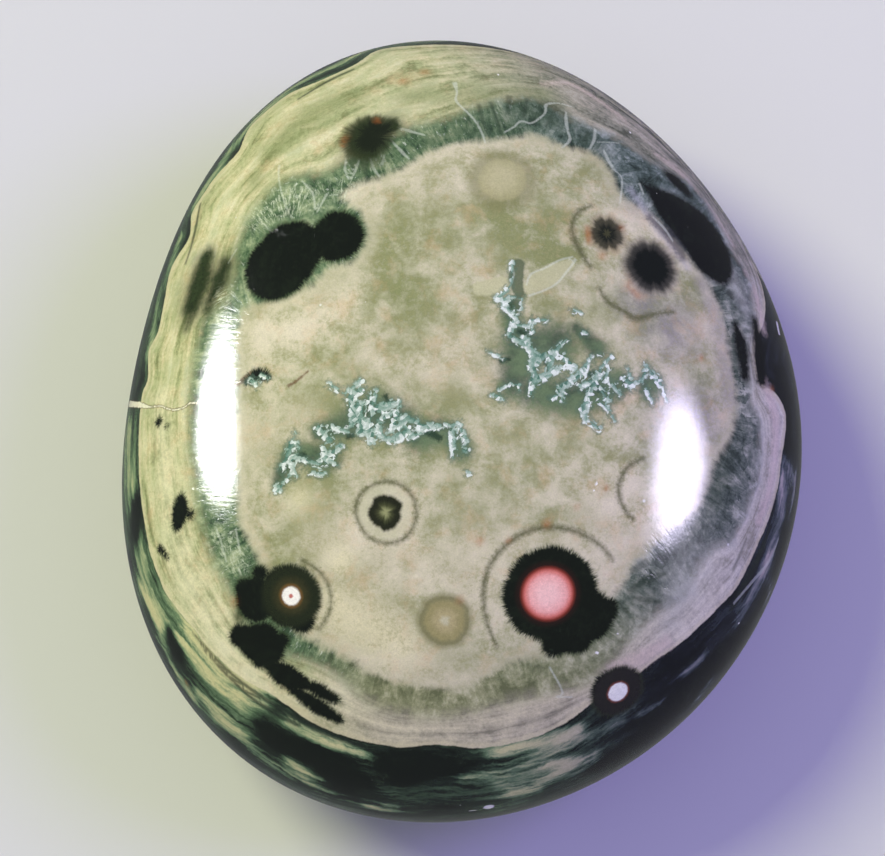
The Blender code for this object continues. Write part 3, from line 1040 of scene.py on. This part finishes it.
    def dark_flank(self):
        """Almost black quartz that clears to green and cream streaks along the rim, greyer on the right."""
        fine = self.mingle(self.layers(self.bands_depth, THIN_LAYER, detail=3.0), self.grain, 0.2)
        streak = self.mingle(self.layers(self.bands_depth, THICK_LAYER, detail=5.0), fine, 0.3)
        tone = self.add("Math", {0: streak, 1: 0.03}, operation="SUBTRACT")
        for cloud_name, weight in (("green_flank", 0.21), ("dark_flank", -0.32)):
            cloud = self.add("Attribute", output="Fac", attribute_name=cloud_name)
            tone = self.add("Math", {0: cloud, 1: weight, 2: tone}, operation="MULTIPLY_ADD")
        depth = self.sway(self.streak_depth("pale_streaks"), streak, 3.0)
        bounds = {0: depth, 1: -0.9, 2: 0.9, 3: 0.0, 4: 0.32}
        pale = self.add("MapRange", bounds, interpolation_type="SMOOTHSTEP")
        tone = self.add("Math", {0: tone, 1: pale}, operation="ADD")
        left = self.add("ValToRGB", {0: tone}, stops=[
            (0.36, "151C17"), (0.46, "263228"), (0.55, "4A6149"), (0.63, "728B6A"), (0.72, "A8B28A"),
            (0.84, "D2CE9F"),
        ])
        right = self.add("ValToRGB", {0: tone}, stops=[
            (0.40, "14171D"), (0.53, "242930"), (0.64, "424C4F"), (0.74, "697173"), (0.84, "8E8D8C"),
            (0.94, "B4ADA6"),
        ])
        return self.add("Mix", {0: self.to_right, 6: left, 7: right}, output=2, data_type="RGBA")

    def rim_bands(self):
        """Cream and yellow-green layers that follow the rim, pink-grey on the right, with a pale brim."""
        inner = self.add("Math", {0: self.moat_depth, 1: -1.0}, operation="MULTIPLY")
        span = self.add("Math", {0: inner, 1: self.bands_depth}, operation="ADD")
        span = self.add("Math", {0: span, 1: 0.5}, operation="MAXIMUM")
        share = self.add("Math", {0: inner, 1: span}, operation="DIVIDE")
        level = self.add("Math", {0: share, 1: BANDS_WIDTH}, operation="MULTIPLY")
        fine = self.mingle(self.layers(level, THIN_BAND, detail=5.0), self.cotton, 0.4)
        fine = self.mingle(fine, self.grain, 0.12)
        broad = self.mingle(self.layers(level, BROAD_BAND, detail=5.0), self.cotton, 0.45)
        broad = self.mingle(broad, self.grain, 0.12)
        left = self.add("ValToRGB", {0: fine}, stops=[
            (0.38, "84895F"), (0.44, "ABAE82"), (0.50, "CDC8A0"), (0.56, "DDD6B2"), (0.64, "E9E3C8"),
        ])
        patches = self.mingle(self.blush, broad, 0.5)
        left = self.wash(left, "ACB88A", patches, 0.48, 0.58, 0.5)
        left = self.wash(left, "D6BC94", patches, 0.47, 0.38, 0.5)
        right = self.add("ValToRGB", {0: broad}, stops=[
            (0.40, "A4A18E"), (0.47, "CAC6B2"), (0.53, "E0DCC8"), (0.60, "F1EDDA"),
        ])
        back = self.add("ValToRGB", {0: fine}, stops=[
            (0.40, "5B5E52"), (0.47, "8C8C7C"), (0.53, "A8A392"), (0.60, "C2BBAA"),
        ])
        right = self.add("Mix", {0: self.to_back, 6: right, 7: back}, output=2, data_type="RGBA")
        bottom = self.add("ValToRGB", {0: broad}, stops=[
            (0.40, "8F8B78"), (0.47, "B3AC96"), (0.53, "C8C0A6"), (0.60, "DAD1B5"),
        ])
        colour = self.side_by_side(left, right, bottom)
        brim = self.add("Math", {0: BRIM_WIDTH, 1: self.bands_depth}, operation="SUBTRACT")
        return self.cover(colour, linear("DBD2AE"), self.sway(brim, self.cotton, 0.8), 0.2, strength=0.6)

    def green_moat(self):
        """Clear green quartz with pale hairs that stand across it, smoky and faceted on the right."""
        body = self.mingle(self.mingle(self.fibre, self.cotton, 0.6), self.grain, 0.1)
        left = self.add("ValToRGB", {0: body}, stops=[
            (0.41, "364C38"), (0.47, "556E50"), (0.53, "788C6A"), (0.59, "A0AC88"), (0.67, "CDD3B8"),
        ])
        hair = self.fibres("cream_edge", HAIR_WIDTH, lean=0.5)
        left = self.wash(left, "E2E9DC", hair, 0.6, 0.74, 0.75)
        lumps = self.add("VectorMath", {0: self.cotton, 3: 3.0}, operation="SCALE")
        lumps = self.add("VectorMath", {0: self.mm, 1: lumps}, operation="ADD")
        facet = self.add("TexVoronoi", {"Vector": lumps, "Scale": 1 / FACET_WIDTH}, output="Color")
        facet = self.mingle(body, self.add("SeparateColor", {0: facet}), 0.09)
        right = self.add("ValToRGB", {0: facet}, stops=[
            (0.40, "3A443E"), (0.47, "5F6A60"), (0.53, "838A7D"), (0.62, "BCBEAE"),
        ])
        back = self.add("ValToRGB", {0: facet}, stops=[
            (0.40, "2C3733"), (0.47, "4C5B55"), (0.53, "6C7974"), (0.62, "A3ABA7"),
        ])
        right = self.add("Mix", {0: self.to_back, 6: right, 7: back}, output=2, data_type="RGBA")
        bottom = self.add("ValToRGB", {0: self.mingle(self.cotton, self.fibre, 0.25)}, stops=[
            (0.40, "6B7050"), (0.47, "868A66"), (0.53, "9FA07C"), (0.62, "C6C3A4"),
        ])
        return self.side_by_side(left, right, bottom)

    def cream_field(self):
        """Chalky cream with cottony olive clouds, paler at its edge."""
        body = self.mingle(self.mingle(self.cloud, self.cotton, 0.4), self.grain, 0.18)
        cream = self.add("ValToRGB", {0: body}, stops=[
            (0.40, "DED5BE"), (0.46, "CEC8AC"), (0.52, "B2B190"), (0.58, "8A9062"),
        ])
        # The field's clouds include the mauve on its right, which is partly painted violet light.
        cream = self.lay_clouds(cream, FIELD_CLOUDS)
        cream = self.wash(cream, "A09C72", self.mingle(self.cotton, self.grain, 0.45), 0.5, 0.62, 0.55)
        cream = self.wash(cream, "D2AE84", self.blush, 0.52, 0.68, 0.3)
        rim = self.add("Math", {0: PALE_EDGE_WIDTH, 1: self.cream_depth}, operation="SUBTRACT")
        return self.cover(cream, linear("D0C9AE"), self.sway(rim, self.fibre, 1.5), 0.8, strength=0.45)

    def lay_crystals(self, colour):
        """Clusters of small quartz crystals, sea green with a painted lit and shaded side, in a dark green
        haze.
        """
        haze = self.add("Attribute", output="Fac", attribute_name="green_haze")
        haze = self.sway(haze, self.mingle(self.cotton, self.grain, 0.4), 1.2)
        depth = self.add("Math", {0: haze, 1: 0.5}, operation="SUBTRACT")
        moss = self.add("ValToRGB", {0: self.cotton}, stops=[(0.4, "2E4A38"), (0.6, "637A5B")])
        colour = self.cover(colour, moss, depth, 0.5, strength=0.92)
        hollow = self.sway(self.streak_depth("hollows"), self.grain, 0.5)
        colour = self.cover(colour, linear("22392C"), hollow, 0.15, strength=0.85)
        chip = self.add("TexVoronoi", {"Vector": self.mm, "Scale": 1 / CHIP_WIDTH}, output="Color")
        chip = self.add("SeparateColor", {0: chip})
        depth = self.sway(self.sway(self.streak_depth("crystals", end=0.09), chip, 0.26), self.grain, 0.2)
        beside = self.sway(self.add("Math", {0: depth, 1: 0.2}, operation="ADD"), self.grain, 0.5)
        colour = self.cover(colour, linear("567060"), beside, 0.16, strength=0.5)
        # Painted light and shade: each rod is whiter on one side of its middle line and greener on the
        # other.
        line = self.add("Attribute", output="Vector", attribute_name="crystals")
        width = self.add("SeparateXYZ", {0: line}, output=1)
        width = self.add("Math", {0: width, 1: 0.05}, operation="MAXIMUM")
        lean = self.add("Math", {0: self.add("SeparateXYZ", {0: line}), 1: width}, operation="DIVIDE")
        tone = self.mingle(chip, self.grain, 0.4)
        tone = self.add("Math", {0: lean, 1: 0.18, 2: tone}, operation="MULTIPLY_ADD")
        crystal = self.add("ValToRGB", {0: tone}, stops=[
            (0.18, "547C6B"), (0.40, "86A494"), (0.60, "B4C5B9"), (0.80, "E4ECE6"),
        ])
        return self.cover(colour, crystal, depth, 0.07)

    def lay_blots(self, colour):
        """Black-green blots with fringes of fine dark hairs, and the pale hairs and smudges beside them."""
        colour = self.lay_clouds(colour, BLOT_CLOUDS)
        hairs = self.fibres("blot_edge", FRINGE_HAIR_WIDTH, lean=0.2)
        depth = self.add("Attribute", output="Fac", attribute_name="blot_depth")
        near = self.add("Math", {0: depth, 1: PALE_HAIR_LENGTH}, operation="ADD")
        near = self.add("MapRange", {0: near, 1: -0.6, 2: 0.6}, interpolation_type="SMOOTHSTEP")
        tufts = self.add("Attribute", output="Fac", attribute_name="white_tufts")
        tufts = self.add("Math", {0: tufts, 1: near}, operation="MULTIPLY")
        pale = self.add("MapRange", {0: hairs, 1: 0.5, 2: 0.62, 3: 0.0, 4: 0.75})
        pale = self.add("Math", {0: pale, 1: tufts}, operation="MULTIPLY")
        colour = self.add("Mix", {0: pale, 6: colour, 7: linear("DCE3CB")}, output=2, data_type="RGBA")
        fur = self.sway(self.sway(depth, self.cotton, 0.7), hairs, 1.0)
        beside = self.add("Math", {0: fur, 1: 0.08}, operation="ADD")
        colour = self.cover(colour, linear("3C4A2E"), beside, 0.3, strength=0.55)
        mottled = self.mingle(self.cotton, self.grain, 0.4)
        inwards = self.add("Math", {0: fur, 1: 0.25}, operation="MINIMUM")
        inwards = self.add("Math", {0: mottled, 1: inwards}, operation="ADD")
        body = self.add("ValToRGB", {0: inwards}, stops=[
            (0.45, "2C3823"), (0.62, "1A2318"), (0.72, "121912"), (0.85, "080D0A"),
        ])
        return self.cover(colour, body, fur, 0.22)

    def lay_eyes(self, colour):
        """Round eyes in rings, some with petals and rays."""
        mottling = self.sway(0.0, self.grain, 1.6)
        for centre, petals, rings in EYES:
            middle = self.marker.land(centre)
            offset = self.add("VectorMath", {0: self.mm, 1: tuple(middle)}, operation="SUBTRACT")
            radius = self.add("VectorMath", {0: offset}, output=1, operation="LENGTH")
            radius = self.sway(radius, self.grain, self.marker.size(5))
            unrest = mottling
            if petals:
                towards = self.add("VectorMath", {0: offset}, operation="NORMALIZE")
                petal = self.add("TexNoise", {
                    "Vector": towards, "Scale": PETALS_ROUND, "Detail": 1.0,
                })
                radius = self.sway(radius, petal, self.marker.size(petals) * 1.5)
                rays = self.add("TexNoise", {"Vector": towards, "Scale": RAYS_ROUND, "Detail": 2.0})
                unrest = self.sway(mottling, rays, petals * 0.2)
            for outer, edge, hex_colour, strength in rings:
                soft = self.marker.size(edge)
                depth = self.add("Math", {0: self.marker.size(outer), 1: radius}, operation="SUBTRACT")
                depth = self.add("Math", {0: unrest, 1: soft, 2: depth}, operation="MULTIPLY_ADD")
                colour = self.cover(colour, linear(hex_colour), depth, soft * 0.85, strength)
        return colour

    def lay_crack(self, colour):
        """The healed crack: brown on both sides and white along its middle."""
        crack = self.streak_depth("crack")
        beside = self.sway(self.add("Math", {0: crack, 1: 0.06}, operation="ADD"), self.grain, 0.5)
        colour = self.cover(colour, linear("5A4A33"), beside, 0.08, strength=0.8)
        middle = self.sway(crack, self.grain, 0.3)
        return self.cover(colour, (*self.settings.crack_colour, 1.0), middle, 0.04)

    def lay_specks(self, colour):
        """Stray white specks, and the listed specks, three of which are painted glints on the right rim."""
        dot = self.add("TexVoronoi", {"Vector": self.mm, "Scale": 1 / SPECK_SPACING})
        kind = self.add("SeparateColor", {0: dot.node.outputs["Color"]})
        depth = self.add("Math", {0: self.sway(0.0, kind, 0.09), 1: dot}, operation="SUBTRACT")
        colour = self.cover(colour, linear("E9E9E0"), depth, 0.012)
        # The listed specks. Three on the right rim are painted glints, lamp reflections painted white.
        depth = self.streak_depth("white_specks_and_painted_glints", end=0.0)
        return self.cover(colour, (*self.settings.speck_and_painted_glint_colour, 1.0), depth, 0.04)

    def lay_dust(self, colour):
        """The finest speckle of the quartz, over everything."""
        fine = self.add("TexNoise", {
            "Vector": self.mm, "Scale": 1 / DUST_WIDTH, "Detail": 2.0, "Roughness": 0.6,
        })
        speckle = self.mingle(self.grain, fine, 0.5)
        shade = self.add("MapRange", {0: speckle, 1: 0.3, 2: 0.7, 3: 0.84, 4: 1.16})
        return self.add("VectorMath", {0: colour, 3: shade}, operation="SCALE")

    def add_relief(self):
        """The polish is a little less flat where hard fibres and soft chalk lie side by side."""
        beside = self.add("MapRange", {0: self.cream_depth, 1: 0.0, 2: 1.5, 3: 1.0, 4: 0.0})
        hairs = self.add("Math", {0: self.fibre, 1: beside}, operation="MULTIPLY")
        height = self.add("Math", {0: self.grain, 1: 0.35, 2: hairs}, operation="MULTIPLY_ADD")
        relief = self.add("Bump", {"Height": height, "Strength": 1.0, "Distance": RELIEF_DEPTH})
        self.tree.links.new(relief, self.shader.inputs["Normal"])

    def grow(self):
        """The whole finish, from the flank inwards and then the markings that lie over it."""
        bands_depth = self.sway(self.bands_depth, self.cotton, 0.5)
        bands = self.lay_clouds(self.rim_bands(), BAND_CLOUDS)
        colour = self.cover(self.dark_flank(), bands, bands_depth, 0.08)
        colour = self.lay_streaks(colour, BAND_STREAKS)
        moat_depth = self.sway(self.sway(self.moat_depth, self.fibre, 0.9), self.cotton, 2.6)
        colour = self.cover(colour, self.green_moat(), moat_depth, 0.9)
        colour = self.lay_clouds(colour, MOAT_CLOUDS)
        cream_depth = self.sway(self.sway(self.cream_depth, self.fibre, 0.8), self.cotton, 1.6)
        colour = self.cover(colour, self.cream_field(), cream_depth, 0.5)
        colour = self.lay_streaks(colour, FIELD_STREAKS)
        colour = self.lay_blots(colour)
        colour = self.lay_crystals(colour)
        colour = self.lay_eyes(colour)
        colour = self.lay_clouds(colour, STAIN_CLOUDS)
        colour = self.lay_crack(colour)
        colour = self.lay_dust(self.lay_specks(colour))
        self.tree.links.new(colour, self.shader.inputs["Base Color"])
        self.add_relief()
        self.shader.inputs["Roughness"].default_value = self.settings.gloss_roughness
        self.shader.inputs["IOR"].default_value = QUARTZ_IOR
        return self.material


def hang_lamp(name, middle, azimuth, height, distance, watts, hex_colour):
    """An area lamp that faces the stone from this direction and distance."""
    lamp = bpy.data.lights.new(name, "AREA")
    lamp.shape = "ELLIPSE"
    lamp.energy = watts
    lamp.color = linear(hex_colour)[:3]
    holder = bpy.data.objects.new(name, lamp)
    level = math.cos(height)
    away = Vector((math.cos(azimuth) * level, math.sin(azimuth) * level, math.sin(height)))
    holder.location = middle + away * distance
    holder.rotation_euler = away.to_track_quat("Z", "Y").to_euler()
    bpy.context.scene.collection.objects.link(holder)
    return holder


def soften_edge(lamp):
    """The lamp's glow fades out towards its edge, as a softbox's does."""
    lamp.use_nodes = True
    nodes = Nodes(lamp.node_tree)
    across = nodes.add("NewGeometry", output=5)
    offset = nodes.add("VectorMath", {0: across, 1: (0.5, 0.5, 0.0)}, operation="SUBTRACT")
    flat = nodes.add("VectorMath", {0: offset, 1: (1.0, 1.0, 0.0)}, operation="MULTIPLY")
    radius = nodes.add("VectorMath", {0: flat}, output=1, operation="LENGTH")
    # The lamp's edge is half a unit from its middle.
    fade = {0: radius, 1: 0.22, 2: 0.5, 3: 1.0, 4: 0.0}
    glow = nodes.add("MapRange", fade, interpolation_type="SMOOTHSTEP")
    nodes.tree.links.new(glow, nodes.tree.nodes["Emission"].inputs["Strength"])


def matt_paper(studio):
    """Uncoated card: even and pale, with no sheen."""
    paper = Finish("matt_paper")
    paper.shader.inputs["Base Color"].default_value = (*studio.floor_colour, 1.0)
    paper.shader.inputs["Roughness"].default_value = 0.9
    paper.shader.inputs["Specular IOR Level"].default_value = 0.1
    return paper.material


def light_room(studio):
    """The walls of the room give an even light, and are too dim for the polish to mirror much of them."""
    room = bpy.data.worlds.new("dim_room")
    room.use_nodes = True
    nodes = Nodes(room.node_tree)
    background = room.node_tree.nodes["Background"]
    mirrored = nodes.add("LightPath", output=3)
    walls = {0: mirrored, 6: linear("DDDEFF"), 7: linear("DBDDE0")}
    walls = nodes.add("Mix", walls, output=2, data_type="RGBA")
    nodes.tree.links.new(walls, background.inputs["Color"])
    glows = {0: mirrored, 1: 0.0, 2: 1.0, 3: studio.room_glow, 4: studio.mirrored_glow}
    glow = nodes.add("MapRange", glows)
    nodes.tree.links.new(glow, background.inputs["Strength"])
    bpy.context.scene.world = room


def set_stage(studio, middle):
    """A plain pale floor, soft lamps, an even room light and the camera of the photograph."""
    scene = bpy.context.scene
    scene.view_settings.view_transform = "Standard"
    eye = PhotoEye(middle, studio)
    camera = bpy.data.cameras.new("photo_camera")
    camera.lens = studio.lens
    camera.sensor_width = SENSOR_WIDTH
    camera.clip_start = 0.01
    camera.clip_end = 20.0
    stand = bpy.data.objects.new("photo_camera", camera)
    stand.location = eye.place
    stand.rotation_euler = (math.pi / 2 - studio.elevation, 0.0, 0.0)
    scene.collection.objects.link(stand)
    scene.camera = stand

    bpy.ops.object.select_all(action="DESELECT")
    bpy.ops.mesh.primitive_plane_add(size=FLOOR_WIDTH, location=(0, 0, 0))
    floor = bpy.context.active_object
    floor.name = "floor"
    floor.data.materials.append(matt_paper(studio))
    floor.visible_glossy = False

    for name, azimuth, height, width, watts, hex_colour in FILLS:
        holder = hang_lamp(name, middle, azimuth, height, FILL_DISTANCE, watts, hex_colour)
        holder.data.size = width
        holder.data.size_y = width
        holder.visible_glossy = False
    for name, azimuth, height, width, tall, lean, watts, hex_colour in GLINTS:
        holder = hang_lamp(name, middle, azimuth, height, GLINT_DISTANCE, watts, hex_colour)
        holder.data.size = width
        holder.data.size_y = tall
        holder.rotation_euler.rotate_axis("Z", lean)
        holder.visible_diffuse = False
        soften_edge(holder.data)

    light_room(studio)


class PALMSTONE_OT_set_stage(bpy.types.Operator):
    """Sets the floor, the lamps and the camera."""

    bl_idname = "palmstone.set_stage"
    bl_label = "Set the stage"

    def execute(self, context):
        pebble = Pebble(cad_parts["palm_stone"])
        set_stage(context.scene.palm_studio, pebble.middle)
        return {"FINISHED"}


class PALMSTONE_OT_make_stone(bpy.types.Operator):
    """Shapes the pebble, lays its markings out and polishes it."""

    bl_idname = "palmstone.make_stone"
    bl_label = "Make the stone"

    def execute(self, context):
        settings = context.scene.palm_stone
        pebble = Pebble(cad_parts["palm_stone"])
        stone = shape_stone(settings, pebble)
        marker = Marker(stone, PhotoEye(pebble.middle, context.scene.palm_studio))
        mark_stone(marker)
        stone.data.materials.clear()
        stone.data.materials.append(JasperFinish(settings, marker).grow())
        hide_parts("palm_stone")
        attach(stone, "root")
        return {"FINISHED"}


class PALMSTONE_PT_panel(bpy.types.Panel):
    """Lists the stone's settings and its steps."""

    bl_idname = "PALMSTONE_PT_panel"
    bl_label = "Palm stone"
    bl_space_type = "VIEW_3D"
    bl_region_type = "UI"
    bl_category = "Palm stone"

    def draw(self, context):
        for group in (context.scene.palm_stone, context.scene.palm_studio):
            for name in group.bl_rna.properties.keys():
                if name not in ("rna_type", "name"):
                    self.layout.prop(group, name)
        self.layout.operator(PALMSTONE_OT_set_stage.bl_idname)
        self.layout.operator(PALMSTONE_OT_make_stone.bl_idname)


CLASSES = (
    StoneSettings, StudioSettings, PALMSTONE_OT_set_stage, PALMSTONE_OT_make_stone, PALMSTONE_PT_panel,
)


def register():
    for part in CLASSES:
        bpy.utils.register_class(part)
    bpy.types.Scene.palm_stone = bpy.props.PointerProperty(type=StoneSettings)
    bpy.types.Scene.palm_studio = bpy.props.PointerProperty(type=StudioSettings)


def unregister():
    del bpy.types.Scene.palm_studio
    del bpy.types.Scene.palm_stone
    for part in reversed(CLASSES):
        bpy.utils.unregister_class(part)


def main():
    register()
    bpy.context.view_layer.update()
    bpy.ops.palmstone.set_stage()
    bpy.ops.palmstone.make_stone()


if __name__ == "__main__":
    main()
